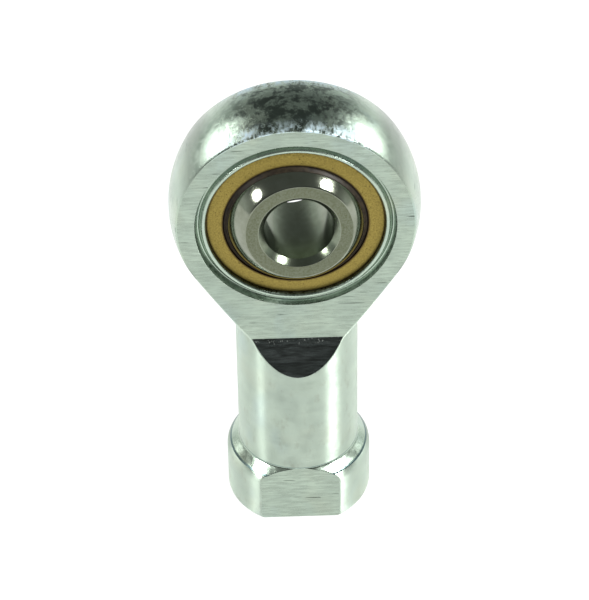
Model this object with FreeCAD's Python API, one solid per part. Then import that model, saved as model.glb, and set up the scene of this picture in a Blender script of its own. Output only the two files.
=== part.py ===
import FreeCAD, Part
import math
import os

# A female rod end bearing, size 5, as three metal pieces and the grease between two of them:
#   housing   turned steel body with an eye, a shank, a wrench collar and a female thread
#   race      bronze ring, pressed in the eye and held by a rolled lip on each face
#   grease    the thin fill between race and ball
#   ball      ground steel ball, cut flat on two sides and bored through
# The origin is the centre of the ball. Y is square to the eye's faces, and the shank points
# down, along -Z. The loose ball rests leaning a little, up and to the right of square.

# ---- driving dimensions, mm ----
bore_diameter = 5.0
ball_diameter = 11.112
ball_width = 8.0
head_diameter = 18.0
head_width = 6.0
eye_to_end = 27.0
shank_diameter = 8.98  # a shade under the wrench size, so the wrench flats die out at its skin
collar_diameter = 10.8
collar_length = 4.1  # to the corner that the shoulder and the collar's side would make
wrench_size = 9.0
thread_diameter = 5.0
thread_pitch = 0.8
thread_depth = 10.4  # from the end face to the last full turn

# ---- how the ball leans at rest, degrees ----
ball_lean = 5.6
lean_heading = -37.4  # of the axis that it leans about, from +X towards +Z

# ---- details of the housing ----
neck_half_angle = 29.5  # degrees, of the cone from the head down to the shank
neck_fillet = 0.6
ledge_top = -10.3  # z where each milled face ends
ledge_angle = 30.0  # degrees from upright
shoulder_angle = 45.0
shoulder_fillet = 1.0
shank_corner_fillet = 0.25
collar_end_chamfer = 0.2
edge_radius = 0.12  # the tumbled edge round the faces

# ---- details of the race ----
race_radius = 6.8
race_face = 2.5  # half the race's width
race_chamfer = 0.45
race_mouth_radius = 5.15
race_mouth_depth = 0.2
race_play = 0.06

# ---- details of the rolled lip and its groove, radii and heights over the ball's middle ----
lip_edge_height = 2.62
lip_round_radius = 6.4
lip_round_height = 2.75
lip_crest_radius = 6.56
lip_crest_height = 2.83
lip_back_height = 2.64
groove_floor_radius = 6.9
groove_floor = 2.52
groove_foot_radius = 7.03
groove_foot_height = 2.6
groove_outer_radius = 7.15

# ---- details of the ball ----
ball_edge_radius = 0.08
bore_chamfer = 0.4

# ---- details of the thread ----
tap_drill_radius = 2.1
thread_crest_radius = 2.067  # half the minor diameter
lead_in = 0.4  # plain wall between the countersink and the first turn
drilled_depth = 12.6
drill_point_angle = 118.0
countersink_radius = 2.7
flank_angle = 30.0
root_share = 1 / 8  # of the pitch, that is flat at the bottom of the groove

# ---- the grease ----
film_gap = 0.015  # between the film and the metal on each side of it
grease_end = 2.42

# ---- what follows from them ----
head_radius = head_diameter / 2
half_head = head_width / 2
ball_radius = ball_diameter / 2
bore_radius = bore_diameter / 2
shank_radius = shank_diameter / 2
collar_radius = collar_diameter / 2
race_sphere_radius = ball_radius + race_play
lip_root_radius = race_radius - race_chamfer
end_z = -eye_to_end

# ---- for cutting tools and for finding edges ----
well_outside = 12.0  # clear of the whole part
overrun = 1.0  # how far a tool starts outside the skin
same_place = 1e-4
spiral_steps = 8

X_AXIS = FreeCAD.Vector(1, 0, 0)
Y_AXIS = FreeCAD.Vector(0, 1, 0)
Z_AXIS = FreeCAD.Vector(0, 0, 1)
CENTRE = FreeCAD.Vector(0, 0, 0)


def line(start, end):
    return Part.LineSegment(start, end).toShape()


def arc(start, middle, end):
    return Part.Arc(start, middle, end).toShape()


def closed_lines(corners):
    return [line(a, b) for a, b in zip(corners, corners[1:] + corners[:1])]


def turned(edges, axis):
    """The solid swept by a closed outline through a full turn about an axis through the origin."""
    face = Part.Face(Part.Wire(edges))
    solid = face.revolve(CENTRE, axis, 360)
    return Part.Solid(solid.Shells[0]) if solid.ShapeType != "Solid" else solid


def on_xz(radius, height):
    return FreeCAD.Vector(radius, 0, height)


def on_xy(radius, along):
    return FreeCAD.Vector(radius, along, 0)


def on_circle(radius, along):
    """The point of a circle about the origin, in the outline plane of a Y-turned piece."""
    return on_xy(math.sqrt(radius ** 2 - along ** 2), along)


def mirrored(point):
    """The same point on the other side of the ball's middle."""
    return on_xy(point.x, -point.y)


def is_near(value, wanted):
    return abs(value - wanted) < same_place


def rounded(solid, radius, wanted):
    edges = [edge for edge in solid.Edges if wanted(edge)]
    return solid.makeFillet(radius, edges)


def is_ring(edge, radius, height):
    """Is this edge the level circle of that radius at that height?"""
    box = edge.BoundBox
    return is_near(box.ZMin, height) and is_near(box.ZMax, height) and is_near(box.XMax, radius)


def turned_blank():
    """Spherical head, cone, shank and shouldered collar, all turned about Z."""
    slope = math.radians(neck_half_angle)
    crown = on_xz(0, head_radius)
    crown_side = on_xz(head_radius, 0)
    tangent = on_xz(head_radius * math.cos(slope), -head_radius * math.sin(slope))
    neck = on_xz(shank_radius, tangent.z - (tangent.x - shank_radius) / math.tan(slope))

    shoulder = math.radians(shoulder_angle)
    corner_z = end_z + collar_length
    set_back = shoulder_fillet * math.tan(shoulder / 2)
    shank_foot = on_xz(shank_radius, corner_z + (collar_radius - shank_radius) / math.tan(shoulder))
    on_shoulder = on_xz(
        collar_radius - set_back * math.sin(shoulder), corner_z + set_back * math.cos(shoulder)
    )
    fillet_centre = on_xz(collar_radius - shoulder_fillet, corner_z - set_back)
    fillet_middle = fillet_centre + on_xz(
        shoulder_fillet * math.cos(shoulder / 2), shoulder_fillet * math.sin(shoulder / 2)
    )
    on_side = on_xz(collar_radius, corner_z - set_back)
    side_end = on_xz(collar_radius, end_z + collar_end_chamfer)
    end_rim = on_xz(collar_radius - collar_end_chamfer, end_z)
    end_centre = on_xz(0, end_z)

    blank = turned(
        [
            arc(crown, crown_side, tangent),
            line(tangent, neck),
            line(neck, shank_foot),
            line(shank_foot, on_shoulder),
            arc(on_shoulder, fillet_middle, on_side),
            line(on_side, side_end),
            line(side_end, end_rim),
            line(end_rim, end_centre),
            line(end_centre, crown),
        ],
        Z_AXIS,
    )
    blank = rounded(blank, neck_fillet, lambda edge: is_ring(edge, shank_radius, neck.z))
    return rounded(blank, shank_corner_fillet, lambda edge: is_ring(edge, shank_radius, shank_foot.z))


def face_cutter(side):
    """What the milling cutter takes off one side of the head, down its sloped ledge."""
    reach = well_outside - half_head
    drop = reach / math.tan(math.radians(ledge_angle))
    corners = [
        FreeCAD.Vector(-well_outside, side * half_head, well_outside),
        FreeCAD.Vector(-well_outside, side * half_head, ledge_top),
        FreeCAD.Vector(-well_outside, side * well_outside, ledge_top - drop),
        FreeCAD.Vector(-well_outside, side * well_outside, well_outside),
    ]
    outline = Part.Face(Part.Wire(closed_lines(corners)))
    return outline.extrude(X_AXIS * 2 * well_outside)


def wrench_cutter(side):
    """What one wrench flat takes off the collar, from below its end to above its shoulder."""
    depth = well_outside - wrench_size / 2
    height = overrun + collar_length + collar_radius - shank_radius + overrun / 2
    near = side * wrench_size / 2 if side > 0 else -well_outside
    corner = FreeCAD.Vector(-well_outside, near, end_z - overrun)
    return Part.makeBox(2 * well_outside, depth, height, corner)


def is_face_rim(edge):
    """The outer edge of a milled face, which tumbling has rounded."""
    box = edge.BoundBox
    on_face = is_near(abs(box.YMin), half_head) and is_near(box.YMin, box.YMax)
    round_the_head = max(abs(box.XMin), abs(box.XMax), box.ZMax) > groove_outer_radius
    down_the_neck = box.ZMax < -race_radius and box.ZMax - box.ZMin > same_place
    return on_face and (round_the_head or down_the_neck)


def eye_half_outline(side):
    """One half of the eye's wall, from the middle out: seat, rolled lip and staked groove."""
    points = [
        (race_radius, 0),
        (race_radius, race_face - race_chamfer),
        (lip_root_radius, race_face),
        (lip_root_radius, lip_edge_height),
        (lip_round_radius, lip_round_height),
        (lip_crest_radius, lip_crest_height),
        (race_radius, lip_back_height),
        (groove_floor_radius, groove_floor),
        (groove_foot_radius, groove_foot_height),
        (groove_outer_radius, half_head),
        (groove_outer_radius, half_head + overrun),
        (0, half_head + overrun),
    ]
    seat, seat_end, lip_root, lip_edge, lip_round, lip_crest, lip_back, floor, foot, wall_top, mouth, axis = [
        on_xy(radius, side * along) for radius, along in points
    ]
    return [
        line(seat, seat_end),
        line(seat_end, lip_root),
        line(lip_root, lip_edge),
        arc(lip_edge, lip_round, lip_crest),
        line(lip_crest, lip_back),
        arc(lip_back, floor, foot),
        line(foot, wall_top),
        line(wall_top, mouth),
        line(mouth, axis),
        line(axis, CENTRE),
        line(CENTRE, seat),
    ]


def eye_cutter():
    """Everything inside the eye's wall."""
    front, back = [turned(eye_half_outline(side), Y_AXIS) for side in (-1, 1)]
    return front.fuse(back).removeSplitter()


def lead_in_cutter():
    """The countersunk mouth and the short plain wall behind it."""
    depth = countersink_radius - tap_drill_radius
    mouth = Part.makeCone(
        countersink_radius + overrun, tap_drill_radius, depth + overrun, on_xz(0, end_z - overrun)
    )
    wall = Part.makeCylinder(tap_drill_radius, depth + lead_in, on_xz(0, end_z))
    return mouth.fuse(wall)


def drill_end_cutter():
    """The plain drilled wall past the last turn, and the drill's point."""
    last_turn = end_z + thread_depth
    drill_end = end_z + drilled_depth
    point = tap_drill_radius / math.tan(math.radians(drill_point_angle / 2))
    corners = [
        on_xz(0, last_turn),
        on_xz(tap_drill_radius, last_turn),
        on_xz(tap_drill_radius, drill_end),
        on_xz(0, drill_end + point),
    ]
    return turned(closed_lines(corners), Z_AXIS)


def on_level(radius, turn):
    return FreeCAD.Vector(radius * math.cos(turn), radius * math.sin(turn), 0)


def level_arc(radius, start, end):
    return arc(on_level(radius, start), on_level(radius, (start + end) / 2), on_level(radius, end))


def level_spiral(start_radius, start, end_radius, end):
    """A straight thread flank, seen in a level section: it moves evenly in or out as it turns."""
    shares = [step / spiral_steps for step in range(spiral_steps + 1)]
    points = [
        on_level(start_radius + (end_radius - start_radius) * share, start + (end - start) * share)
        for share in shares
    ]
    curve = Part.BSplineCurve()
    curve.interpolate(points)
    return curve.toShape()


def thread_cutter():
    """A tap's full-form stretch: its level section, twisted one turn for each pitch that it rises."""
    first_turn = end_z + countersink_radius - tap_drill_radius + lead_in
    length = end_z + thread_depth - first_turn
    root_radius = thread_diameter / 2
    flank_rise = (root_radius - thread_crest_radius) * math.tan(math.radians(flank_angle))
    root_end = 2 * math.pi * root_share
    flank = 2 * math.pi * flank_rise / thread_pitch
    crest_start = root_end + flank
    crest_end = 2 * math.pi - flank
    section = Part.Wire(
        [
            level_arc(root_radius, 0, root_end),
            level_spiral(root_radius, root_end, thread_crest_radius, crest_start),
            level_arc(thread_crest_radius, crest_start, crest_end),
            level_spiral(thread_crest_radius, crest_end, root_radius, 2 * math.pi),
        ]
    )
    path = Part.Wire([line(CENTRE, Z_AXIS * length)])
    twist = Part.Wire(Part.makeHelix(thread_pitch, length, root_radius))
    sweep = Part.BRepOffsetAPI.MakePipeShell(path)
    sweep.setAuxiliarySpine(twist, False, 0)
    sweep.add(section, False, False)
    sweep.build()
    sweep.makeSolid()
    tap = sweep.shape()
    tap.translate(Z_AXIS * first_turn)
    return tap


def housing():
    body = turned_blank()
    for side in (-1, 1):
        body = body.cut(face_cutter(side))
        body = body.cut(wrench_cutter(side))
    body = rounded(body, edge_radius, is_face_rim)
    body = body.cut(eye_cutter())
    body = body.cut(thread_cutter())
    body = body.cut(lead_in_cutter())
    return body.cut(drill_end_cutter()).Solids[0]


def race():
    mouth_foot = on_circle(race_sphere_radius, race_face - race_mouth_depth)
    face_in = on_xy(race_mouth_radius, race_face)
    face_out = on_xy(race_radius - race_chamfer, race_face)
    side_top = on_xy(race_radius, race_face - race_chamfer)
    half = [mouth_foot, face_in, face_out, side_top]
    corners = half + [mirrored(point) for point in reversed(half)]
    edges = closed_lines(corners)[:-1]
    edges.append(arc(mirrored(mouth_foot), on_xy(race_sphere_radius, 0), mouth_foot))
    return turned(edges, Y_AXIS)


def grease():
    inner = ball_radius + film_gap
    outer = race_sphere_radius - film_gap
    mouth_height = race_face - race_mouth_depth
    neck = on_circle(outer, mouth_height)
    mouth_slope = (race_mouth_radius - on_circle(race_sphere_radius, mouth_height).x) / race_mouth_depth
    end_out = on_xy(neck.x + mouth_slope * (grease_end - neck.y), grease_end)
    end_in = on_circle(inner, grease_end)
    edges = [
        arc(mirrored(end_in), on_xy(inner, 0), end_in),
        line(end_in, end_out),
        line(end_out, neck),
        arc(neck, on_xy(outer, 0), mirrored(neck)),
        line(mirrored(neck), mirrored(end_out)),
        line(mirrored(end_out), mirrored(end_in)),
    ]
    return turned(edges, Y_AXIS)


def ball():
    half_width = ball_width / 2
    rim = on_circle(ball_radius, half_width)
    face_in = on_xy(bore_radius + bore_chamfer, half_width)
    wall_end = on_xy(bore_radius, half_width - bore_chamfer)
    half = [rim, face_in, wall_end]
    corners = half + [mirrored(point) for point in reversed(half)]
    edges = closed_lines(corners)[:-1]
    edges.append(arc(mirrored(rim), on_xy(ball_radius, 0), rim))
    solid = turned(edges, Y_AXIS)

    def is_rim(edge):
        box = edge.BoundBox
        return is_near(abs(box.YMin), half_width) and is_near(box.XMax, rim.x)

    solid = rounded(solid, ball_edge_radius, is_rim).Solids[0]
    heading = math.radians(lean_heading)
    solid.rotate(CENTRE, on_xz(math.cos(heading), math.sin(heading)), -ball_lean)
    return solid


os.makedirs("parts", exist_ok=True)
for name, make in (("housing", housing), ("race", race), ("grease", grease), ("ball", ball)):
    shape = make()
    print(name, "solids", len(shape.Solids), "valid", shape.isValid(), "mm3", round(shape.Volume, 3))
    shape.exportStep(f"parts/{name}.step")
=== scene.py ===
import math

import bpy
from mathutils import Matrix, Vector


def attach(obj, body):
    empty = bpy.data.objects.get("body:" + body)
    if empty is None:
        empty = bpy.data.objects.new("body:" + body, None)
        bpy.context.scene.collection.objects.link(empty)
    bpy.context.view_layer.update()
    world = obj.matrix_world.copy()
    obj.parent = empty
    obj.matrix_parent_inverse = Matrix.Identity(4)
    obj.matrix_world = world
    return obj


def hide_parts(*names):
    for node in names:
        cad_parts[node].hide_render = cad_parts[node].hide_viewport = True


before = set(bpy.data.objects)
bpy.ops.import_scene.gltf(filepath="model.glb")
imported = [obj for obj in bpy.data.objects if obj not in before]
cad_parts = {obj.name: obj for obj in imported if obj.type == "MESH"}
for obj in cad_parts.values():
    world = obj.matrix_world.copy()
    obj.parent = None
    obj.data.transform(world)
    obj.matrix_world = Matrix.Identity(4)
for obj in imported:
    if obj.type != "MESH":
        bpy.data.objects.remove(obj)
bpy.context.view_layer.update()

bpy.ops.object.select_all(action="DESELECT")
MM = 0.001  # one millimetre, in the file's metres

# The camera looks down on the front of the eye from about 220 mm away, a little left of square.
# It is a long lens, so the rod end's sides run nearly parallel.
camera_turn = math.radians(-1.135)
camera_rise = math.radians(40.312)
camera_roll = math.radians(-0.949)
camera_distance = 220.294 * MM
camera_aim = Vector((-0.125, 0, -9.236)) * MM
lens_length = 180.59
film_width = 36
nearest_seen = 1 * MM
farthest_seen = 10

towards_camera = Vector(
    (
        math.sin(camera_turn) * math.cos(camera_rise),
        -math.cos(camera_turn) * math.cos(camera_rise),
        math.sin(camera_rise),
    )
)
level_right = (-towards_camera).cross(Vector((0, 0, 1))).normalized()
level_up = level_right.cross(-towards_camera)
camera_right = level_right * math.cos(camera_roll) + level_up * math.sin(camera_roll)
camera_up = level_up * math.cos(camera_roll) - level_right * math.sin(camera_roll)
bpy.ops.object.camera_add()
camera = bpy.context.object
camera.name = "camera"
camera.matrix_world = Matrix.Translation(camera_aim + towards_camera * camera_distance) @ (
    Matrix((camera_right, camera_up, towards_camera)).transposed().to_4x4()
)
camera.data.lens = lens_length
camera.data.sensor_width = film_width
camera.data.clip_start = nearest_seen
camera.data.clip_end = farthest_seen
bpy.context.scene.camera = camera
bpy.context.scene.view_settings.view_transform = "Standard"


# The studio: a white lit table, two bright round lamps to the left and right of the object, two
# larger and fainter ones behind them, and a room that is pale at the sides and dim above and in front.
table_height = -27.02 * MM
table_size = 2.4
table_white = 0.1
table_glow = 1.0
table_roughness = 0.9
lamp_distance = 0.45
round_lamps = (
    ("lamp.left", (-0.838, -0.319, 0.445), 0.055, 26),
    ("lamp.right", (0.717, -0.287, 0.637), 0.062, 85),
)
side_cards = (
    ("card.left", (-0.76, 0.47, 0.43), 0.125, 3.2),
    ("card.right", (0.77, 0.46, 0.43), 0.125, 3.2),
)
room_tint = (0.94, 1.0, 0.97, 1)
wall_white = 0.7
ceiling_grey = 0.15
front_dark = 0.06
wall_top = (0.0, 0.5)
wall_front = (-0.75, -0.1)
ceiling_edge = (0.25, 0.6)


def hang_lamp(name, direction, radius, brightness):
    """A round soft lamp aimed at the object. The power gives its face that brightness."""
    towards = Vector(direction).normalized()
    bpy.ops.object.light_add(
        type="AREA", location=towards * lamp_distance, rotation=towards.to_track_quat("Z", "Y").to_euler()
    )
    lamp = bpy.context.object
    lamp.name = name
    lamp.data.shape = "DISK"
    lamp.data.size = 2 * radius
    lamp.data.energy = brightness * (math.pi * radius) ** 2


for lamp_settings in round_lamps + side_cards:
    hang_lamp(*lamp_settings)

bpy.ops.mesh.primitive_plane_add(size=table_size, location=(0, 0, table_height))
table = bpy.context.object
table.name = "table"
table_paint = bpy.data.materials.new("table_white")
table_paint.use_nodes = True
table_shader = table_paint.node_tree.nodes["Principled BSDF"]
table_shader.inputs["Base Color"].default_value = (table_white, table_white, table_white, 1)
table_shader.inputs["Roughness"].default_value = table_roughness
table_shader.inputs["Specular IOR Level"].default_value = 0
table_shader.inputs["Emission Color"].default_value = (1, 1, 1, 1)
table_shader.inputs["Emission Strength"].default_value = table_glow
table.data.materials.append(table_paint)

room = bpy.data.worlds.new("room")
bpy.context.scene.world = room
room.use_nodes = True
room_nodes = room.node_tree.nodes
room_links = room.node_tree.links
direction = room_nodes.new("ShaderNodeTexCoord")
parts = room_nodes.new("ShaderNodeSeparateXYZ")
room_links.new(direction.outputs["Generated"], parts.inputs["Vector"])


def room_step(part, start, end, low, high):
    """A soft change of the room's brightness across one direction."""
    step = room_nodes.new("ShaderNodeMapRange")
    step.interpolation_type = "SMOOTHSTEP"
    room_links.new(parts.outputs[part], step.inputs["Value"])
    for slot, value in (("From Min", start), ("From Max", end), ("To Min", low), ("To Max", high)):
        step.inputs[slot].default_value = value
    return step.outputs["Result"]


def room_sum(operation, first, second):
    """Two brightnesses put together into one."""
    total = room_nodes.new("ShaderNodeMath")
    total.operation = operation
    room_links.new(first, total.inputs[0])
    room_links.new(second, total.inputs[1])
    return total.outputs["Value"]


wall_glow = room_sum(
    "MULTIPLY", room_step("Z", *wall_top, wall_white, 0), room_step("Y", *wall_front, 0, 1)
)
room_glow = room_sum("ADD", wall_glow, room_step("Z", *ceiling_edge, front_dark, ceiling_grey))
room_links.new(room_glow, room_nodes["Background"].inputs["Strength"])
room_nodes["Background"].inputs["Color"].default_value = room_tint


# The housing: one bar of free-cutting steel. A lathe turns the round head, the cone, the shank and
# the shouldered collar; then the eye is bored, the head and the collar are milled flat, and the
# end is drilled and tapped. It is zinc plated all over, with a pale, slightly green cast.
head_radius = 9 * MM
half_head = 3 * MM
rim_round = 0.1 * MM
neck_slope = math.radians(29.5)
crown_end = math.radians(28.5)
spin_step = math.radians(1.5)
arc_steps = 64
widest_round = 0.35
cone_levels = 16
neck_levels = 2
ledge_levels = 26
shank_radius = 4.49 * MM
neck_fillet = 0.6 * MM
ledge_top = -10.3 * MM
ledge_slope = math.radians(30)
ledge_round = 0.05 * MM
collar_radius = 5.4 * MM
half_wrench = 4.5 * MM
flat_round = 0.06 * MM
end_height = -27 * MM
groove_rim = 7.19 * MM
weld_distance = 1e-4 * MM
same_place = 1e-3 * MM


def edit(piece, selecting="VERT"):
    """Opens one piece for editing with nothing selected."""
    bpy.context.view_layer.objects.active = piece
    bpy.ops.object.mode_set(mode="EDIT")
    bpy.ops.mesh.select_mode(type=selecting)
    bpy.ops.mesh.select_all(action="DESELECT")


def finish_edit():
    """Leaves edit mode, which writes the shape back to the piece."""
    bpy.ops.object.mode_set(mode="OBJECT")


def face_outwards(piece):
    """Turns all the faces of a closed skin to point out of it."""
    edit(piece)
    bpy.ops.mesh.select_all(action="SELECT")
    bpy.ops.mesh.normals_make_consistent(inside=False)
    finish_edit()


def draw_outline(name, points):
    """A chain of edges, drawn by pulling one point along from place to place."""
    bpy.ops.object.select_all(action="DESELECT")
    bpy.ops.mesh.primitive_plane_add(size=MM, location=points[0])
    piece = bpy.context.object
    piece.name = name
    bpy.ops.object.mode_set(mode="EDIT")
    bpy.ops.mesh.merge(type="CENTER")
    for start, end in zip(points, points[1:]):
        bpy.ops.mesh.extrude_region_move(TRANSFORM_OT_translate={"value": Vector(end) - Vector(start)})
    finish_edit()
    bpy.ops.object.transform_apply(location=True, rotation=False, scale=False)
    return piece


def turn_outline(piece, axis, turn=2 * math.pi, step=spin_step):
    """Spins the whole outline about an axis through the ball's middle."""
    edit(piece)
    bpy.ops.mesh.select_all(action="SELECT")
    bpy.ops.mesh.spin(steps=round(turn / step), angle=turn, center=(0, 0, 0), axis=axis)
    bpy.ops.mesh.select_all(action="SELECT")
    bpy.ops.mesh.remove_doubles(threshold=weld_distance)
    finish_edit()
    return piece


def rounded_corner(start, corner, end, steps=3):
    """The points that round a corner off, from just after its start to just before its end."""
    points = []
    for step in range(1, steps):
        share = step / steps
        points.append(
            tuple(
                a * (1 - share) ** 2 + 2 * b * share * (1 - share) + c * share ** 2
                for a, b, c in zip(start, corner, end)
            )
        )
    return points


def side_outline(radius, half_width, edge_round):
    """A circle cut off by two flats, seen along its axis: the side that is left, corner to corner."""
    corner = math.sqrt(max(radius ** 2 - half_width ** 2, 0))
    edge_round = min(edge_round, widest_round * corner)
    half_turn = math.asin(min(half_width / radius, 1)) - edge_round / radius
    turns = [half_turn * (2 * step / arc_steps - 1) for step in range(arc_steps + 1)]
    arc = [(radius * math.cos(turn), radius * math.sin(turn)) for turn in turns]
    flat_end = (corner - edge_round, -half_width)
    front = [flat_end] + rounded_corner(flat_end, (corner, -half_width), arc[0])
    back = [(out, -across) for out, across in reversed(front)]
    return front + arc + back


def lay_side(name, rows):
    """A sheet of faces over one side of the turned skin, one row of points for each level."""
    bpy.ops.object.select_all(action="DESELECT")
    bpy.ops.mesh.primitive_grid_add(
        x_subdivisions=len(rows[0]) - 1, y_subdivisions=len(rows) - 1, size=MM
    )
    side = bpy.context.object
    side.name = name
    for vertex, place in zip(side.data.vertices, [place for row in rows for place in row]):
        vertex.co = place
    bpy.ops.object.duplicate()
    other = bpy.context.object
    bpy.ops.object.mode_set(mode="EDIT")
    bpy.ops.mesh.select_all(action="SELECT")
    bpy.ops.transform.resize(value=(-1, 1, 1), center_override=(0, 0, 0))
    finish_edit()
    return [side, other]


# the crown and the eye's faces, as far round as the cone leaves the ball shape
start_side = (math.cos(crown_end), -math.sin(crown_end))
crown_line = side_outline(head_radius, half_head, rim_round)
crown_line = [(groove_rim, -half_head)] + crown_line + [(groove_rim, half_head)]
crown = draw_outline(
    "housing.crown", [(out * start_side[0], across, out * start_side[1]) for out, across in crown_line]
)
turn_outline(crown, (0, 1, 0), math.pi + 2 * crown_end)

# the wall of the eye, from its face to its middle: the broken edge, the staked groove, the rolled
# lip and the seat of the race, each as millimetres out from the bore's axis and across
half_eye = [
    (7.19, 3.0), (7.162, 2.988), (7.15, 2.96), (7.09, 2.76), (7.045, 2.63), (7.01, 2.567), (6.96, 2.528),
    (6.9, 2.52), (6.85, 2.54), (6.81, 2.59), (6.76, 2.68), (6.68, 2.765), (6.62, 2.815), (6.56, 2.83),
    (6.49, 2.82), (6.43, 2.785), (6.385, 2.725), (6.355, 2.65), (6.35, 2.6), (6.35, 2.5), (6.8, 2.05),
    (6.8, 0.0),
]
eye_line = [(out, -across) for out, across in half_eye] + half_eye[-2::-1]
eye_wall = draw_outline(
    "housing.eye_wall",
    [(out * MM * start_side[0], across * MM, out * MM * start_side[1]) for out, across in eye_line],
)
turn_outline(eye_wall, (0, 1, 0))

# the cone, the neck and the top of the shank, down each side to where the two ledges run out
tangent_height = -head_radius * math.sin(neck_slope)
tangent_radius = head_radius * math.cos(neck_slope)
cone_foot = tangent_height - (tangent_radius - shank_radius) / math.tan(neck_slope)
fillet_reach = neck_fillet * math.tan(neck_slope / 2)
fillet_top = cone_foot + fillet_reach * math.cos(neck_slope)
fillet_foot = cone_foot - fillet_reach
ledge_foot = ledge_top - (shank_radius - half_head) / math.tan(ledge_slope)


def neck_radius(height):
    """How far out the skin is at a height, from the cone down to the shank."""
    if height > fillet_top:
        return tangent_radius - (tangent_height - height) * math.tan(neck_slope)
    if height > fillet_foot:
        return shank_radius + neck_fillet - math.sqrt(neck_fillet ** 2 - (height - fillet_foot) ** 2)
    return shank_radius


def level_row(height, radius, half_width, edge_round):
    """One level of the skin: a circle cut off by two flats."""
    return [(out, across, height) for out, across in side_outline(radius, half_width, edge_round)]


def evenly(start, end, steps):
    """Evenly spaced values from the start to just before the end."""
    return [start + (end - start) * step / steps for step in range(steps)]


head_rows = [
    [
        (out * start_side[0], across, out * start_side[1])
        for out, across in side_outline(head_radius, half_head, rim_round)
    ]
]
for height in evenly(tangent_height, fillet_top, cone_levels) + evenly(fillet_top, ledge_top, neck_levels):
    head_rows.append(level_row(height, neck_radius(height), half_head, rim_round))
ledge_start = math.asin(half_head / shank_radius)
for share in evenly(0, 1, ledge_levels) + [1]:
    half_width = shank_radius * math.sin(ledge_start + (math.pi / 2 - ledge_start) * share)
    height = ledge_top - (half_width - half_head) / math.tan(ledge_slope)
    head_rows.append(level_row(height, neck_radius(height), half_width, ledge_round if share else rim_round))
head_sides = lay_side("housing.neck_side", head_rows)


# the shank, from the foot of the ledges down to where the wrench flats start
shoulder_slope = math.radians(45)
corner_height = -21.99 * MM
corner_fillet = 0.25 * MM
corner_reach = corner_fillet * math.tan(shoulder_slope / 2)
shoulder_fillet = 1 * MM
shoulder_reach = shoulder_fillet * math.tan(shoulder_slope / 2)
shoulder_corner = -22.9 * MM
shank_levels = 8
flat_top = corner_height + corner_reach - math.sqrt(
    corner_fillet ** 2 - (shank_radius + corner_fillet - half_wrench) ** 2
)
bpy.ops.object.select_all(action="DESELECT")
bpy.ops.mesh.primitive_circle_add(
    vertices=2 * arc_steps, radius=shank_radius, fill_type="NOTHING", location=(0, 0, ledge_foot)
)
shank = bpy.context.object
shank.name = "housing.shank"
bpy.ops.object.mode_set(mode="EDIT")
bpy.ops.mesh.select_all(action="SELECT")
shank_stops = evenly(ledge_foot, corner_height + corner_reach, shank_levels)[1:]
shank_stops.append(corner_height + corner_reach)
for start, end in zip([ledge_foot] + shank_stops, shank_stops):
    bpy.ops.mesh.extrude_region_move(TRANSFORM_OT_translate={"value": (0, 0, end - start)})
bpy.ops.mesh.extrude_region_move(TRANSFORM_OT_translate={"value": (0, 0, flat_top - shank_stops[-1])})
widen = half_wrench / shank_radius
bpy.ops.transform.resize(value=(widen, widen, 1), center_override=(0, 0, flat_top))
finish_edit()
bpy.ops.object.transform_apply(location=True, rotation=False, scale=False)


# the shoulder and the collar, down each side of the two wrench flats, with the chamfered end last
corner_end = corner_height - corner_reach * math.sin(shoulder_slope)
round_start = shoulder_corner + shoulder_reach * math.sin(shoulder_slope)
round_end = shoulder_corner - shoulder_reach
chamfer_height = 0.22 * MM
first_corners = (0.1 * MM, 0.2 * MM)
slope_levels = 6
round_levels = 8
collar_levels = 5
end_chamfer = (
    (-26.78, 5.4, 4.5), (-26.85, 5.38, 4.5), (-26.91, 5.33, 4.5), (-26.96, 5.26, 4.48), (-27.0, 5.16, 4.44)
)


def collar_skin(height):
    """How far out the skin is at a height, from the fillet under the shank down to the collar."""
    if height > corner_end:
        drop = corner_height + corner_reach - height
        return shank_radius + corner_fillet - math.sqrt(corner_fillet ** 2 - drop ** 2)
    if height > round_start:
        return shank_radius + corner_height - height
    if height > round_end:
        rise = height - round_end
        return collar_radius - shoulder_fillet + math.sqrt(shoulder_fillet ** 2 - rise ** 2)
    return collar_radius


collar_rows = [level_row(flat_top, half_wrench, half_wrench, 0)]
for first_corner in first_corners:
    radius = math.hypot(half_wrench, first_corner)
    drop = math.sqrt(corner_fillet ** 2 - (shank_radius + corner_fillet - radius) ** 2)
    collar_rows.append(level_row(corner_height + corner_reach - drop, radius, half_wrench, flat_round))
stops = [corner_height, (corner_height + corner_end) / 2] + evenly(corner_end, round_start, slope_levels)
stops += evenly(round_start, round_end, round_levels)
stops += evenly(round_end, end_height + chamfer_height, collar_levels)
for height in stops:
    collar_rows.append(level_row(height, collar_skin(height), half_wrench, flat_round))
for height, radius, half_width in end_chamfer:
    collar_rows.append(level_row(height * MM, radius * MM, half_width * MM, flat_round))
collar_sides = lay_side("housing.collar_side", collar_rows)


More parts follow.
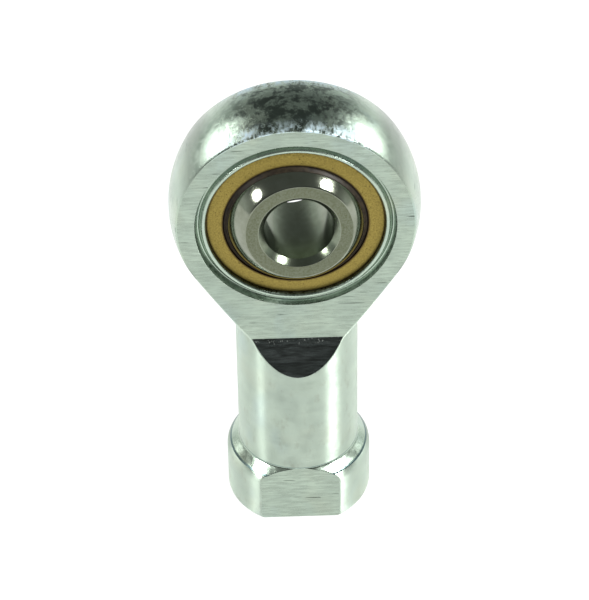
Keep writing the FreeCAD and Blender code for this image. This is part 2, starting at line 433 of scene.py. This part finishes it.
# the countersunk mouth, the tapped thread and the end of the drilled hole; the lines are drawn as
# millimetres out from the shank's axis and up
drill_radius = 2.1
mouth_end = -26.06
drill_start = -16.54
thread_pitch = 0.8 * MM
thread_turns = 14
thread_start = -26 * MM
thread_end = -16.6 * MM
thread_steps = 96
mouth_line = [(2.74, -27), (2.68, -26.97), (2.12, -26.41), (drill_radius, -26.37), (drill_radius, mouth_end)]
mouth = draw_outline("housing.mouth", [(out * MM, 0, height * MM) for out, height in mouth_line])
turn_outline(mouth, (0, 0, 1), step=math.pi / arc_steps)
drill_line = [(drill_radius, drill_start), (drill_radius, -14.42), (2.08, -14.39), (0, -13.138)]
drill_end = draw_outline("housing.drill_end", [(out * MM, 0, height * MM) for out, height in drill_line])
turn_outline(drill_end, (0, 0, 1), step=math.pi / arc_steps)
turn_line = [(2.5, 0), (2.5, 0.1), (2.1, 0.331), (2.067, 0.37), (2.067, 0.53), (2.1, 0.569), (2.5, 0.8)]
thread = draw_outline(
    "housing.thread", [(out * MM, 0, thread_start - thread_pitch + rise * MM) for out, rise in turn_line]
)
tap = thread.modifiers.new("tap", "SCREW")
tap.axis = "Z"
tap.angle = 2 * math.pi
tap.screw_offset = thread_pitch
tap.iterations = thread_turns
tap.steps = thread_steps
tap.render_steps = thread_steps
tap.use_merge_vertices = False
bpy.ops.object.modifier_apply(modifier="tap")
edit(thread)
bpy.ops.mesh.select_all(action="SELECT")
bpy.ops.mesh.remove_doubles(threshold=weld_distance)
for height, clear_below in ((thread_start, True), (thread_end, False)):
    bpy.ops.mesh.select_all(action="SELECT")
    bpy.ops.mesh.bisect(
        plane_co=(0, 0, height), plane_no=(0, 0, 1), threshold=weld_distance,
        clear_inner=clear_below, clear_outer=not clear_below,
    )
finish_edit()

# all the skins are joined and welded into one body, and its flat places are closed
bpy.ops.object.select_all(action="DESELECT")
skins = [crown, eye_wall, shank, mouth, drill_end, thread] + head_sides + collar_sides
for skin in skins:
    skin.select_set(True)
bpy.context.view_layer.objects.active = crown
bpy.ops.object.join()
housing = crown
housing.name = "housing_body"
edit(housing)
bpy.ops.mesh.select_all(action="SELECT")
bpy.ops.mesh.remove_doubles(threshold=weld_distance)
bpy.ops.mesh.dissolve_degenerate(threshold=weld_distance)
finish_edit()


def open_edges(piece):
    """The edges with a face on one side only."""
    uses = {}
    for face in piece.data.polygons:
        for key in face.edge_keys:
            uses[key] = uses.get(key, 0) + 1
    return [edge for edge in piece.data.edges if uses.get(tuple(sorted(edge.vertices)), 0) < 2]


def pick_open_edges(piece, wanted):
    """Selects the open edges whose two ends are both wanted, and opens the piece for editing."""
    edit(piece, "EDGE")
    finish_edit()
    corners = piece.data.vertices
    for edge in open_edges(piece):
        edge.select = all(wanted(corners[end].co) for end in edge.vertices)
    bpy.ops.object.mode_set(mode="EDIT")


def join_corners(piece, wanted):
    """Draws one edge between two corners."""
    edit(piece, "VERT")
    finish_edit()
    for corner in piece.data.vertices:
        corner.select = wanted(corner.co)
    bpy.ops.object.mode_set(mode="EDIT")
    bpy.ops.mesh.edge_face_add()
    finish_edit()


def close_loop(piece, wanted):
    """Closes one flat opening with a single face."""
    pick_open_edges(piece, wanted)
    bpy.ops.mesh.edge_face_add()
    finish_edit()


def near(value, wanted):
    """Whether two lengths are the same, to a thousandth of a millimetre."""
    return abs(value - wanted) < same_place


def ledge_half(place):
    """How far the sloping ledge is from the middle at a place's height."""
    return half_head + (ledge_top - place.z) * math.tan(ledge_slope)


# each flat place is closed by its own face, and the rings between mouth, thread and drilled hole bridged
wrench_end = -26.91 * MM
end_half = 4.44 * MM
for side in (-1, 1):
    half_chord = min(
        abs(corner.co.x) for corner in housing.data.vertices
        if near(corner.co.y * side, half_head) and near(corner.co.z, ledge_top)
    )
    join_corners(
        housing,
        lambda at: near(at.y * side, half_head) and near(at.z, ledge_top) and near(abs(at.x), half_chord),
    )
    close_loop(housing, lambda at: near(at.y * side, half_head) and at.z > ledge_top - same_place)
    close_loop(housing, lambda at: near(at.y * side, ledge_half(at)) and at.z < ledge_top + same_place)
    join_corners(housing, lambda at: near(at.y * side, half_wrench) and near(at.z, wrench_end))
    join_corners(housing, lambda at: near(at.y * side, end_half) and near(at.z, end_height))
    close_loop(
        housing,
        lambda at: near(at.y * side, half_wrench) and wrench_end - same_place < at.z < flat_top + same_place,
    )
    close_loop(housing, lambda at: at.y * side > end_half - same_place and at.z < wrench_end + same_place)
for low, high in ((end_height, end_height), (mouth_end * MM, thread_start), (thread_end, drill_start * MM)):
    pick_open_edges(housing, lambda at: low - same_place < at.z < high + same_place)
    bpy.ops.mesh.bridge_edge_loops()
    finish_edit()
face_outwards(housing)


def smooth(piece, sharp_angle=25):
    """Smooth shading between sharp edges, with the flats kept flat right up to their rounded rims."""
    bpy.ops.object.select_all(action="DESELECT")
    piece.select_set(True)
    bpy.context.view_layer.objects.active = piece
    bpy.ops.object.shade_smooth_by_angle(angle=math.radians(sharp_angle))
    even = piece.modifiers.new("even", "WEIGHTED_NORMAL")
    even.keep_sharp = True
    bpy.ops.object.modifier_apply(modifier="even")


smooth(housing)


def new_finish(name, colour, roughness, metallic=1.0, grain=0.0, grain_turn=0.0):
    """A material with its shader's plain values set. Returns the material, its nodes and the shader."""
    finish = bpy.data.materials.new(name)
    finish.use_nodes = True
    shader = finish.node_tree.nodes["Principled BSDF"]
    shader.inputs["Base Color"].default_value = (*colour, 1)
    shader.inputs["Roughness"].default_value = roughness
    shader.inputs["Metallic"].default_value = metallic
    shader.inputs["Anisotropic"].default_value = grain
    shader.inputs["Anisotropic Rotation"].default_value = grain_turn
    return finish, finish.node_tree, shader


def add(tree, kind, inputs=(), **settings):
    """One node, with its settings and its inputs: a value to set, or another node's output to link."""
    node = tree.nodes.new(kind)
    for name, value in settings.items():
        setattr(node, name, value)
    for slot, value in dict(inputs).items():
        if isinstance(value, bpy.types.NodeSocket):
            tree.links.new(value, node.inputs[slot])
        else:
            node.inputs[slot].default_value = value
    return node


def in_millimetres(tree, stretch=(1, 1, 1), turn=(0, 0, 0)):
    """Places on the piece in millimetres, stretched for a pattern that runs one way."""
    place = add(tree, "ShaderNodeTexCoord").outputs["Object"]
    scale = tuple(1000 * part for part in stretch)
    return add(
        tree, "ShaderNodeMapping", {"Vector": place, "Scale": scale, "Rotation": turn}
    ).outputs["Vector"]


def noise(tree, places, scale, detail=3.0, roughness=0.5):
    """A cloudy pattern from nought to one, with about that many lumps to the millimetre."""
    return add(
        tree, "ShaderNodeTexNoise",
        {"Vector": places, "Scale": scale, "Detail": detail, "Roughness": roughness},
    ).outputs["Fac"]


def spread(tree, value, low, high, to_low=0.0, to_high=1.0):
    """Stretches a value's range, held at both ends."""
    return add(
        tree, "ShaderNodeMapRange",
        {"Value": value, "From Min": low, "From Max": high, "To Min": to_low, "To Max": to_high},
    ).outputs["Result"]


def work_out(tree, operation, first, second=0.0):
    """One sum on two values."""
    return add(tree, "ShaderNodeMath", {0: first, 1: second}, operation=operation).outputs["Value"]


def blend_colours(tree, share, first, second):
    """Two colours mixed. Each is a colour or another node's colour."""
    mix = add(tree, "ShaderNodeMix", data_type="RGBA")
    for slot, value in ((0, share), (6, first), (7, second)):
        if isinstance(value, bpy.types.NodeSocket):
            tree.links.new(value, mix.inputs[slot])
        else:
            mix.inputs[slot].default_value = value if slot == 0 else (*value, 1)
    return mix.outputs[2]


def raise_surface(tree, shader, height, depth):
    """Fine unevenness, as deep as given in metres."""
    bump = add(tree, "ShaderNodeBump", {"Height": height, "Distance": depth})
    tree.links.new(bump.outputs["Normal"], shader.inputs["Normal"])


zinc_light = (0.51, 0.62, 0.51)
zinc_dull = (0.44, 0.54, 0.45)
zinc_warm = (0.54, 0.59, 0.45)
zinc_cold = (0.44, 0.57, 0.57)
zinc_dark = (0.05, 0.06, 0.05)
zinc_bright = (0.70, 0.80, 0.70)
# painted: the blue-black of shade and of a dark reflection on the collar's shoulder
zinc_blue_shade_and_reflection = (0.05, 0.11, 0.13)
zinc_glint = (0.72, 0.88, 0.95)
zinc_smear = (0.34, 0.36, 0.27)
# the milling lines' colour, and also the crown's painted dark side reflection
zinc_line_and_reflection = (0.25, 0.30, 0.25)
zinc_stain = (0.10, 0.13, 0.11)
# painted shade in the staked groove and along the lip
zinc_groove_shade = (0.06, 0.075, 0.06)
# painted dark reflection of the room on the ledges
zinc_ledge_dark_reflection = (0.27, 0.31, 0.30)
# painted glint on the ledges' broken top edge
zinc_edge_glint = (0.90, 0.95, 0.90)
zinc_oily = (0.25, 0.27, 0.24)


def zinc_colour(tree):
    """Zinc plate: pale, a little uneven, with faint straw and blue tints and small dark specks."""
    places = in_millimetres(tree)
    clouds = noise(tree, places, scale=0.5, detail=4)
    tone = blend_colours(tree, spread(tree, clouds, 0.35, 0.65), zinc_dull, zinc_light)
    straw = spread(tree, noise(tree, places, scale=0.23, detail=2), 0.55, 0.75, 0, 0.5)
    tone = blend_colours(tree, straw, tone, zinc_warm)
    turned_places = in_millimetres(tree, stretch=(1, 1, 0.6), turn=(0.5, 0.2, 0))
    blue = spread(tree, noise(tree, turned_places, scale=0.3, detail=2), 0.58, 0.75, 0, 0.5)
    tone = blend_colours(tree, blue, tone, zinc_cold)
    specks = spread(tree, noise(tree, places, scale=6, detail=2, roughness=0.6), 0.72, 0.78, 0, 0.6)
    return blend_colours(tree, specks, tone, zinc_dark)


def lay_grain(tree, shader, axis):
    """The way the tool marks run, round an axis. The shader draws its reflections out by it."""
    around = add(tree, "ShaderNodeTangent", direction_type="RADIAL", axis=axis)
    tree.links.new(around.outputs["Tangent"], shader.inputs["Tangent"])


def distance_out(tree, stretch):
    """How far each place is from an axis, in millimetres: the axis is the one stretched by nought."""
    return add(
        tree, "ShaderNodeVectorMath", {0: in_millimetres(tree, stretch)}, operation="LENGTH"
    ).outputs["Value"]


def band(tree, value, low, high, soft):
    """A stripe of one between two values, fading to nothing over a soft edge outside them."""
    rise = spread(tree, value, low - soft, low)
    fall = spread(tree, value, high, high + soft, 1, 0)
    return work_out(tree, "MULTIPLY", rise, fall)


def turned_zinc():
    """Where the lathe left fine rings round the shank's axis. They draw reflections out lengthways."""
    finish, tree, shader = new_finish("zinc_turned", zinc_light, 0.3, grain=1.0, grain_turn=0.25)
    colour = blend_colours(tree, 0.2, zinc_colour(tree), zinc_bright)
    smears = noise(tree, in_millimetres(tree, stretch=(1, 1, 0.5)), scale=1.2, detail=5, roughness=0.7)
    colour = blend_colours(tree, spread(tree, smears, 0.56, 0.72, 0, 0.35), colour, zinc_smear)
    tree.links.new(colour, shader.inputs["Base Color"])
    rings = noise(tree, in_millimetres(tree, stretch=(0.05, 0.05, 1)), scale=5, detail=4, roughness=0.7)
    patches = noise(tree, in_millimetres(tree), scale=0.9)
    ring_wear = spread(tree, rings, 0.3, 0.7, 0.27, 0.32)
    patch_wear = spread(tree, patches, 0.4, 0.7, 0, 0.06)
    tree.links.new(work_out(tree, "ADD", ring_wear, patch_wear), shader.inputs["Roughness"])
    lay_grain(tree, shader, "Z")
    dents = spread(tree, noise(tree, in_millimetres(tree), scale=2, detail=2), 0.3, 0.7)
    raise_surface(tree, shader, work_out(tree, "ADD", rings, dents), 0.002 * MM)
    return finish


def shoulder_zinc():
    """The sloping shoulder of the collar, burnished smooth, with painted dark lines where it meets its
    neighbours: painted shade in the fillet above and a painted dark reflection on the rounding below.
    """
    fillet_shade_line = {"low": -21.9, "high": -21.78, "soft": 0.08}
    rounding_reflection_line = {"low": -22.71, "high": -22.6, "soft": 0.06}
    finish, tree, shader = new_finish("zinc_shoulder", zinc_light, 0.2, grain=0.5)
    height = add(tree, "ShaderNodeSeparateXYZ", {"Vector": in_millimetres(tree)}).outputs["Z"]
    # two painted dark lines: shade in the concave fillet above, a dark reflection on the convex rounding
    # below
    lines = work_out(tree, "MAXIMUM", band(tree, height, **fillet_shade_line), band(tree, height, **rounding_reflection_line))
    lines = work_out(tree, "MULTIPLY", lines, 0.8)
    tree.links.new(blend_colours(tree, lines, zinc_colour(tree), zinc_blue_shade_and_reflection), shader.inputs["Base Color"])
    lay_grain(tree, shader, "Z")
    wear = noise(tree, in_millimetres(tree), scale=3, detail=4, roughness=0.6)
    tree.links.new(spread(tree, wear, 0.35, 0.65, 0.16, 0.26), shader.inputs["Roughness"])
    raise_surface(tree, shader, wear, 0.003 * MM)
    return finish


def crown_zinc():
    """The round of the head: polished across its width, with a dark handling stain mottled over the
    top, a painted dark reflection down each side, and painted bluish glints along the edges of the faces."""
    stain_sides = (5.2, 2.6)
    stain_heights = (6.4, 7.4)
    glint_edge = (1.9, 2.6)
    glint_sides = (3.5, 5.5)
    side_reflection_band = {"low": 6.6, "high": 7.4, "soft": 0.9}
    finish, tree, shader = new_finish("zinc_crown", zinc_light, 0.22, grain=0.35)
    places = in_millimetres(tree)
    axes = add(tree, "ShaderNodeSeparateXYZ", {"Vector": places})
    sideways = work_out(tree, "ABSOLUTE", axes.outputs["X"])
    towards_face = work_out(tree, "ABSOLUTE", axes.outputs["Y"])
    blots = spread(tree, noise(tree, places, scale=1.1, detail=8, roughness=0.75), 0.44, 0.54)
    stain = work_out(tree, "MULTIPLY", blots, spread(tree, sideways, *stain_sides))
    stain = work_out(tree, "MULTIPLY", stain, spread(tree, axes.outputs["Z"], *stain_heights, 0, 0.9))
    flecks = noise(tree, in_millimetres(tree, stretch=(1, 0.5, 1)), scale=2.2, detail=5, roughness=0.7)
    # painted highlight: bluish glints near the faces' edges, broken up by the fleck pattern
    edge = work_out(
        tree, "MULTIPLY", spread(tree, towards_face, *glint_edge), spread(tree, sideways, *glint_sides, 1, 0)
    )
    painted_glint = work_out(tree, "MULTIPLY", edge, spread(tree, flecks, 0.42, 0.6))
    stain = work_out(tree, "MULTIPLY", stain, spread(tree, painted_glint, 0, 0.6, 1, 0))
    # painted dark reflection of the room down each side of the crown
    dull = work_out(tree, "MULTIPLY", band(tree, sideways, **side_reflection_band), 0.8)
    colour = blend_colours(tree, dull, zinc_colour(tree), zinc_line_and_reflection)
    colour = blend_colours(tree, stain, colour, zinc_stain)
    hairs = noise(tree, in_millimetres(tree, stretch=(1, 0.25, 0.2), turn=(0, 0.15, 0)), scale=5, detail=1)
    colour = blend_colours(tree, spread(tree, hairs, 0.7, 0.76, 0, 0.35), colour, zinc_stain)
    colour = blend_colours(tree, painted_glint, colour, zinc_glint)
    tree.links.new(colour, shader.inputs["Base Color"])
    wear = noise(tree, in_millimetres(tree, stretch=(1, 0.3, 1)), scale=1.4, detail=4, roughness=0.6)
    worn = spread(tree, wear, 0.35, 0.65, 0.18, 0.27)
    rough = work_out(tree, "ADD", worn, spread(tree, painted_glint, 0, 1, 0, 0.3))
    tree.links.new(rough, shader.inputs["Roughness"])
    lay_grain(tree, shader, "Y")
    raise_surface(tree, shader, work_out(tree, "ADD", wear, blots), 0.004 * MM)
    return finish


def milled_zinc():
    """Where the milling cutter crossed: close straight lines, and a few short thin scratches."""
    finish, tree, shader = new_finish("zinc_milled", zinc_light, 0.3, grain=0.7, grain_turn=0.25)
    lines = noise(tree, in_millimetres(tree, stretch=(0.12, 0.12, 1)), scale=6, roughness=0.65)
    colour = blend_colours(tree, spread(tree, lines, 0.4, 0.62, 0.6, 0.15), zinc_colour(tree), zinc_line_and_reflection)
    scratch_places = in_millimetres(tree, stretch=(0.12, 0.12, 1.6), turn=(0, 0.03, 0))
    scratches = spread(tree, noise(tree, scratch_places, scale=3.2, detail=1.5), 0.7, 0.74, 0, 0.75)
    colour = blend_colours(tree, scratches, colour, zinc_dark)
    tree.links.new(colour, shader.inputs["Base Color"])
    tree.links.new(spread(tree, lines, 0.3, 0.7, 0.25, 0.33), shader.inputs["Roughness"])
    lay_grain(tree, shader, "Z")
    raise_surface(tree, shader, work_out(tree, "SUBTRACT", lines, scratches), 0.002 * MM)
    return finish


def staked_zinc():
    """Where the staking tool rolled the lip over: burnished and ringed round the eye, with painted shade
    in the crevices of the lip and the groove, and a painted shadow on the groove's floor low down on the
    left."""
    lip_root = {"low": 6.2, "high": 6.4, "soft": 0.05}
    groove_edge = {"low": 7.07, "high": 7.2, "soft": 0.03}
    groove_foot = {"low": 6.8, "high": 6.86, "soft": 0.03}
    groove_floor = {"low": 6.95, "high": 7.2, "soft": 0.04}
    towards_shadow = (-0.67, 0, -0.74)
    shadow_reach = (6.1, 6.7)
    finish, tree, shader = new_finish("zinc_staked", zinc_light, 0.3, grain=0.5, grain_turn=0.25)
    wear = noise(tree, in_millimetres(tree), scale=2.5, detail=4, roughness=0.6)
    out = distance_out(tree, (1, 0, 1))
    # painted shade in the crevices at the lip's root, the lip's foot and the groove's outer edge
    groove_shade = work_out(tree, "MAXIMUM", band(tree, out, **lip_root), band(tree, out, **groove_edge))
    foot = work_out(tree, "MULTIPLY", band(tree, out, **groove_foot), 0.8)
    groove_shade = work_out(tree, "MAXIMUM", groove_shade, foot)
    # painted shadow on the groove's floor, strongest low down on the left
    shadow_side = add(
        tree, "ShaderNodeVectorMath", {0: in_millimetres(tree), 1: towards_shadow}, operation="DOT_PRODUCT"
    ).outputs["Value"]
    lower_left_shadow = work_out(tree, "MULTIPLY", spread(tree, shadow_side, *shadow_reach), band(tree, out, **groove_floor))
    groove_shade = work_out(tree, "MAXIMUM", groove_shade, lower_left_shadow)
    groove_shade = work_out(tree, "MULTIPLY", groove_shade, spread(tree, wear, 0.3, 0.6, 0.95, 0.6))
    tree.links.new(blend_colours(tree, groove_shade, zinc_colour(tree), zinc_groove_shade), shader.inputs["Base Color"])
    tree.links.new(spread(tree, wear, 0.3, 0.7, 0.2, 0.4), shader.inputs["Roughness"])
    lay_grain(tree, shader, "Y")
    raise_surface(tree, shader, wear, 0.004 * MM)
    return finish


def ledge_zinc():
    """The two sloping ledges: painted dark as a reflection of the room, faintly streaked, with painted glints
    near their broken top edge.
    """
    glint_heights = (-10.75, -10.55)
    finish, tree, shader = new_finish("zinc_ledge_dark_reflection", zinc_ledge_dark_reflection, 0.25, grain=0.6, grain_turn=0.25)
    streaks = noise(tree, in_millimetres(tree, stretch=(0.12, 0.12, 1)), scale=5, roughness=0.65)
    # the dark base colour is a painted reflection of the dark room
    colour = blend_colours(tree, spread(tree, streaks, 0.4, 0.6, 0, 0.7), zinc_ledge_dark_reflection, zinc_dark)
    height = add(tree, "ShaderNodeSeparateXYZ", {"Vector": in_millimetres(tree)}).outputs["Z"]
    # painted highlight: bright glints near the ledges' top edge
    edge_glints = noise(tree, in_millimetres(tree, stretch=(1, 0.2, 1)), scale=5, detail=1)
    edge_glints = work_out(tree, "MULTIPLY", spread(tree, edge_glints, 0.61, 0.68), spread(tree, height, *glint_heights))
    tree.links.new(blend_colours(tree, edge_glints, colour, zinc_edge_glint), shader.inputs["Base Color"])
    lay_grain(tree, shader, "Z")
    raise_surface(tree, shader, streaks, 0.002 * MM)
    return finish


def bored_zinc():
    """Inside the drilled and tapped hole: dull and oily."""
    finish, tree, shader = new_finish("zinc_bored", zinc_dull, 0.4)
    wear = noise(tree, in_millimetres(tree), scale=4, detail=4, roughness=0.6)
    colour = blend_colours(tree, spread(tree, wear, 0.35, 0.65), zinc_oily, zinc_dull)
    tree.links.new(colour, shader.inputs["Base Color"])
    tree.links.new(spread(tree, wear, 0.3, 0.7, 0.3, 0.5), shader.inputs["Roughness"])
    raise_surface(tree, shader, wear, 0.004 * MM)
    return finish


def set_finishes(piece, finishes, pick):
    """Gives each face one of the finishes: pick says which, from the face's middle and its normal."""
    piece.data.materials.clear()
    for finish in finishes:
        piece.data.materials.append(finish)
    for face in piece.data.polygons:
        face.material_index = pick(face.center / MM, face.normal)


# where the finishes meet, in millimetres: the ledges run out just above the drilled hole's point
turned, milled, staked, bored, ledge, crowned, shouldered = range(7)
staked_out_to = 7.17
face_across = 2.999
bored_out_to = 2.72
ledge_heights = (-13, -10)
nearly_head = 8.9
shoulder_heights = (-22.7, -21.75)
flat_enough = 0.9999
facing_up = 0.05
no_lean = 1e-4
same_slope = 1e-3


def housing_finish(middle, normal):
    """Which finish a face of the housing has."""
    lowest_ledge, highest_ledge = ledge_heights
    if math.hypot(middle.x, middle.z) < staked_out_to and abs(middle.y) < face_across:
        return staked
    if middle.z < lowest_ledge and math.hypot(middle.x, middle.y) < bored_out_to:
        return bored
    sloping = abs(normal.x) < no_lean and abs(abs(normal.y) - math.cos(ledge_slope)) < same_slope
    if sloping and lowest_ledge < middle.z < highest_ledge:
        return ledge
    if middle.length > nearly_head and middle.z > tangent_height / MM:
        return crowned
    if abs(normal.y) > flat_enough:
        return milled
    on_shoulder = shoulder_heights[0] < middle.z < shoulder_heights[1] and normal.z > facing_up
    return shouldered if on_shoulder else turned


housing_finishes = [
    turned_zinc(), milled_zinc(), staked_zinc(), bored_zinc(), ledge_zinc(), crown_zinc(), shoulder_zinc()
]
set_finishes(housing, housing_finishes, housing_finish)
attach(housing, "housing")
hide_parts("housing")


# The race: a ring of bearing bronze, turned inside to fit the ball, pressed into the eye and held
# there by the rolled lips. Its face is matt and grainy, with dark specks, and painted shade darkens its
# edges.
half_race = [
    (6.8, 0.0), (6.8, 2.05), (6.36, 2.49), (6.34, 2.5), (5.19, 2.6), (5.155, 2.59), (5.14, 2.56), (5.124, 2.3)
]
seat_radius = 5.616
half_seat = 2.3
seat_steps = 40
seat_end = math.asin(half_seat / seat_radius)
seat = [
    (seat_radius * math.cos(seat_end * share), seat_radius * math.sin(seat_end * share))
    for share in evenly(1, -1, seat_steps)[1:]
]
race_line = [(out, -across) for out, across in half_race[::-1]] + half_race[1:] + seat
race_line.append(race_line[0])
race = draw_outline("race_ring", [(out * MM, across * MM, 0) for out, across in race_line])
turn_outline(race, (0, 1, 0))
face_outwards(race)
smooth(race)

bronze_light = (0.36, 0.285, 0.075)
bronze_dull = (0.24, 0.185, 0.05)
bronze_dark = (0.05, 0.03, 0.015)


def race_bronze():
    """Matt bronze, pitted with dark specks, with painted shade darkening its outer and inner edges where it
    meets the lip and the ball.
    """
    shade_by_lip = (6.2, 6.33)
    shade_by_ball = (5.3, 5.16)
    finish, tree, shader = new_finish("bronze", bronze_light, 0.5)
    places = in_millimetres(tree)
    grain = noise(tree, places, scale=9, detail=4, roughness=0.75)
    colour = blend_colours(tree, spread(tree, grain, 0.38, 0.62), bronze_dull, bronze_light)
    pits_and_gap_shade = spread(tree, noise(tree, places, scale=6, detail=2, roughness=0.6), 0.66, 0.72, 0, 0.8)
    out = distance_out(tree, (1, 0, 1))
    # painted shade along the gaps where the race meets the lip and the ball
    edges = work_out(tree, "MAXIMUM", spread(tree, out, *shade_by_lip), spread(tree, out, *shade_by_ball))
    pits_and_gap_shade = work_out(tree, "MAXIMUM", pits_and_gap_shade, edges)
    tree.links.new(blend_colours(tree, pits_and_gap_shade, colour, bronze_dark), shader.inputs["Base Color"])
    tree.links.new(spread(tree, grain, 0.3, 0.7, 0.55, 0.38), shader.inputs["Roughness"])
    raise_surface(tree, shader, work_out(tree, "SUBTRACT", grain, pits_and_gap_shade), 0.006 * MM)
    return finish


set_finishes(race, [race_bronze()], lambda middle, normal: 0)
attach(race, "housing")
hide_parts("race")


# The grease: what the maker packed between the race and the ball. It shows as a dark wet line at
# each mouth of the race, drawn in a little hollow between the two metals; its near-black colour is partly
# painted shade, for the shade in the gap there.
film_inner = 5.571
film_outer = 5.601
film_end = 2.29
film_steps = 40
bead_end = 2.8
bead_steps = 44


def on_ball(radius, across):
    """How far out a ball of this radius is, that far across from its middle."""
    return math.sqrt(radius ** 2 - across ** 2)


inner_side = [
    (on_ball(film_inner, across), across) for across in evenly(-bead_end, bead_end, bead_steps) + [bead_end]
]
outer_side = [
    (on_ball(film_outer, across), across) for across in evenly(film_end, -film_end, film_steps) + [-film_end]
]
hollow = [
    (4.84, 2.793), (4.885, 2.72), (4.935, 2.645), (4.985, 2.58), (5.035, 2.545), (5.08, 2.52), (5.115, 2.505),
    (5.128, 2.47), (5.112, 2.34),
]
far_hollow = [(out, -across) for out, across in reversed(hollow)]
grease_line = inner_side + hollow + outer_side + far_hollow + inner_side[:1]
grease = draw_outline("grease_ring", [(out * MM, across * MM, 0) for out, across in grease_line])
turn_outline(grease, (0, 1, 0))
face_outwards(grease)
smooth(grease, sharp_angle=60)

grease_and_gap_shade_brown = (0.012, 0.009, 0.006)
grease_thin = (0.03, 0.022, 0.012)


def dark_grease():
    """Dark, lumpy and only a little shiny."""
    # the near-black colour is partly painted shade, for the gap between the race and the ball
    finish, tree, shader = new_finish("grease", grease_and_gap_shade_brown, 0.45, metallic=0)
    lumps = noise(tree, in_millimetres(tree), scale=2.5, detail=4, roughness=0.6)
    colour = blend_colours(tree, spread(tree, lumps, 0.35, 0.65), grease_and_gap_shade_brown, grease_thin)
    tree.links.new(colour, shader.inputs["Base Color"])
    tree.links.new(spread(tree, lumps, 0.3, 0.7, 0.4, 0.55), shader.inputs["Roughness"])
    shader.inputs["Specular IOR Level"].default_value = 0.2
    raise_surface(tree, shader, lumps, 0.02 * MM)
    return finish


set_finishes(grease, [dark_grease()], lambda middle, normal: 0)
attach(grease, "grease")
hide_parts("grease")


# The ball: bearing steel, ground and polished round, its two sides faced off flat and its bore
# reamed and deburred. It is loose in the race and leans a little up and to the right at rest.
ball_radius = 5.556
half_ball = 4.0
bore_radius = 2.5
rim_radius = math.sqrt(ball_radius ** 2 - half_ball ** 2)
ball_lean = math.radians(-5.6)
lean_heading = math.radians(-37.4)
edge_break = 0.06
edge_drop = 0.055
round_steps = 72
round_end_turn = math.asin((half_ball - edge_drop) / ball_radius)
ball_side = [
    (ball_radius * math.cos(round_end_turn * share), ball_radius * math.sin(round_end_turn * share))
    for share in evenly(-1, 1, round_steps) + [1]
]
face_start = (rim_radius - edge_break, half_ball)
face_line = [face_start, (2.94, 4.0), (2.905, 3.99), (2.88, 3.97), (2.53, 3.62), (2.505, 3.585)]
face_line.append((bore_radius, 3.55))
half_line = rounded_corner(ball_side[-1], (rim_radius, half_ball), face_start) + face_line
far_line = [(out, -across) for out, across in reversed(half_line)]
ball_line = ball_side + half_line + far_line + ball_side[:1]
ball = draw_outline("ball_ring", [(out * MM, across * MM, 0) for out, across in ball_line])
turn_outline(ball, (0, 1, 0))
face_outwards(ball)
lean = Matrix.Rotation(ball_lean, 4, Vector((math.cos(lean_heading), 0, math.sin(lean_heading))))
ball.matrix_world = lean
bpy.ops.object.select_all(action="DESELECT")
ball.select_set(True)
bpy.context.view_layer.objects.active = ball
bpy.ops.object.transform_apply(location=True, rotation=True, scale=True)
smooth(ball)

ball_steel = (0.31, 0.335, 0.27)
face_steel = (0.125, 0.142, 0.085)
bore_steel = (0.24, 0.28, 0.21)


def polished_steel():
    """The running surface, close to a mirror."""
    finish, tree, shader = new_finish("steel_polished", ball_steel, 0.1)
    wear = noise(tree, in_millimetres(tree), scale=0.8, detail=4, roughness=0.6)
    colour = blend_colours(tree, spread(tree, wear, 0.35, 0.65, 0, 0.4), ball_steel, face_steel)
    tree.links.new(colour, shader.inputs["Base Color"])
    tree.links.new(spread(tree, wear, 0.35, 0.7, 0.07, 0.16), shader.inputs["Roughness"])
    raise_surface(tree, shader, noise(tree, in_millimetres(tree), scale=5), 0.0008 * MM)
    return finish


def faced_steel():
    """The ball's two flat sides: fine, dull and grainy."""
    finish, tree, shader = new_finish("steel_faced", face_steel, 0.35)
    grain = noise(tree, in_millimetres(tree), scale=7, detail=4, roughness=0.7)
    colour = blend_colours(tree, spread(tree, grain, 0.35, 0.65, 0, 0.4), face_steel, ball_steel)
    tree.links.new(colour, shader.inputs["Base Color"])
    tree.links.new(spread(tree, grain, 0.3, 0.7, 0.28, 0.42), shader.inputs["Roughness"])
    raise_surface(tree, shader, grain, 0.004 * MM)
    return finish


def reamed_steel():
    """The pin bore, with the reamer's faint rings."""
    finish, tree, shader = new_finish("steel_reamed", bore_steel, 0.22, grain=0.6, grain_turn=0.25)
    grain = noise(tree, in_millimetres(tree), scale=1.5, detail=4, roughness=0.6)
    colour = blend_colours(tree, spread(tree, grain, 0.35, 0.65, 0, 0.4), bore_steel, face_steel)
    tree.links.new(colour, shader.inputs["Base Color"])
    lay_grain(tree, shader, "Y")
    raise_surface(tree, shader, grain, 0.001 * MM)
    return finish


bore_axis = lean.to_3x3() @ Vector((0, 1, 0))
polished, faced, reamed = range(3)
reamed_out_to = 2.92
square_to_bore = 0.99


def ball_finish(middle, normal):
    """Which finish a face of the ball has."""
    along = middle.dot(bore_axis)
    if (middle - bore_axis * along).length < reamed_out_to:
        return reamed
    return faced if abs(normal.dot(bore_axis)) > square_to_bore else polished


set_finishes(ball, [polished_steel(), faced_steel(), reamed_steel()], ball_finish)
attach(ball, "ball")
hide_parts("ball")
